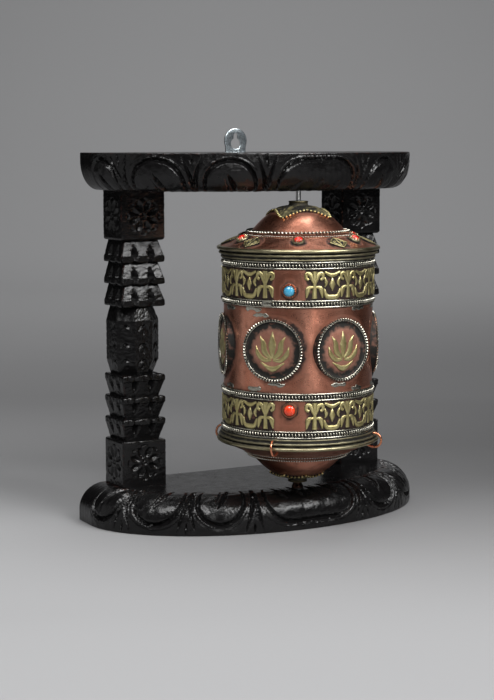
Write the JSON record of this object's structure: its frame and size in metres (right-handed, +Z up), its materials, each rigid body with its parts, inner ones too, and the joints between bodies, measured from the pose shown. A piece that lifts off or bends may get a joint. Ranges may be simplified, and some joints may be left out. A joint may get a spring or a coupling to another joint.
{
  "type": "prayer wheel",
  "caption": "Copper prayer wheel drum turning on an upright steel spindle in a carved black wooden frame with a flat back and a keyhole hanger.",
  "frame": {"origin": "on the spindle's axis, in the plane that the base stands on", "axes": "+Z up along the spindle; the frame's flat back faces +Y; +X to the right seen from the front"},
  "size_m": [0.27, 0.1535, 0.2906],
  "materials": {
    "lacquered_wood": "glossy black lacquer over carved wood",
    "screw_steel": "plain steel, satin",
    "zinc": "bright zinc plating",
    "spindle_steel": "bare drawn steel",
    "dark_brass": "brass darkened with age",
    "foot_bead_brass": "brown, oily brass",
    "copper": "sheet copper, satin, lightly tarnished",
    "dark_copper": "copper with dark patina",
    "bezel_copper": "copper",
    "hook_copper": "bright copper wire",
    "brass": "antique brass, dark in the recesses",
    "rim_brass": "antique brass, greenish",
    "white_metal": "white metal wire, dark in the recesses",
    "turquoise": "polished blue stone",
    "orange_coral": "polished orange-red stone",
    "red_coral": "polished red stone",
    "paper": "thin unbleached paper, blank",
    "cotton": "cotton tape"
  },
  "bodies": {
    "frame": {"base_board": "lacquered_wood", "top_board": "lacquered_wood", "left_post": "lacquered_wood", "right_post": "lacquered_wood", "base_screws": "screw_steel", "top_screws": "screw_steel", "hanger_plate": "zinc", "hanger_screws": "zinc", "spindle": "spindle_steel", "lower_socket": "dark_brass", "upper_socket": "dark_brass", "foot_bead": "foot_bead_brass"},
    "drum": {"drum_shell": "copper", "top_lid": "copper", "bottom_pan": "copper", "top_crown": "brass", "bottom_crown": "brass", "top_collar": "dark_brass", "bottom_collar": "dark_brass", "lid_rope_ring": "white_metal", "pan_rope_ring": "white_metal", "upper_rim": "rim_brass", "lower_rim": "rim_brass", "bead_wire_1": "white_metal", "bead_wire_2": "white_metal", "bead_wire_3": "white_metal", "bead_wire_4": "white_metal", "upper_band": "brass", "lower_band": "brass", "blue_stones": "turquoise", "coral_stones": "orange_coral", "stone_bezels": "bezel_copper", "lid_stones": "red_coral", "lid_bezels": "rim_brass", "lid_leaves": "brass", "medallion_cups": "dark_copper", "medallion_rings": "white_metal", "medallion_motifs": "brass", "rim_hooks": "hook_copper", "core_tube": "brass", "upper_bush": "brass", "lower_bush": "brass", "prayer_roll": "paper", "roll_ties": "cotton"}
  },
  "joints": [
    {"name": "drum_spin", "type": "hinge", "parent": "frame", "child": "drum", "pos_m": [0, 0, 0.135], "axis": [0, 0, 1], "continuous": true}
  ]
}
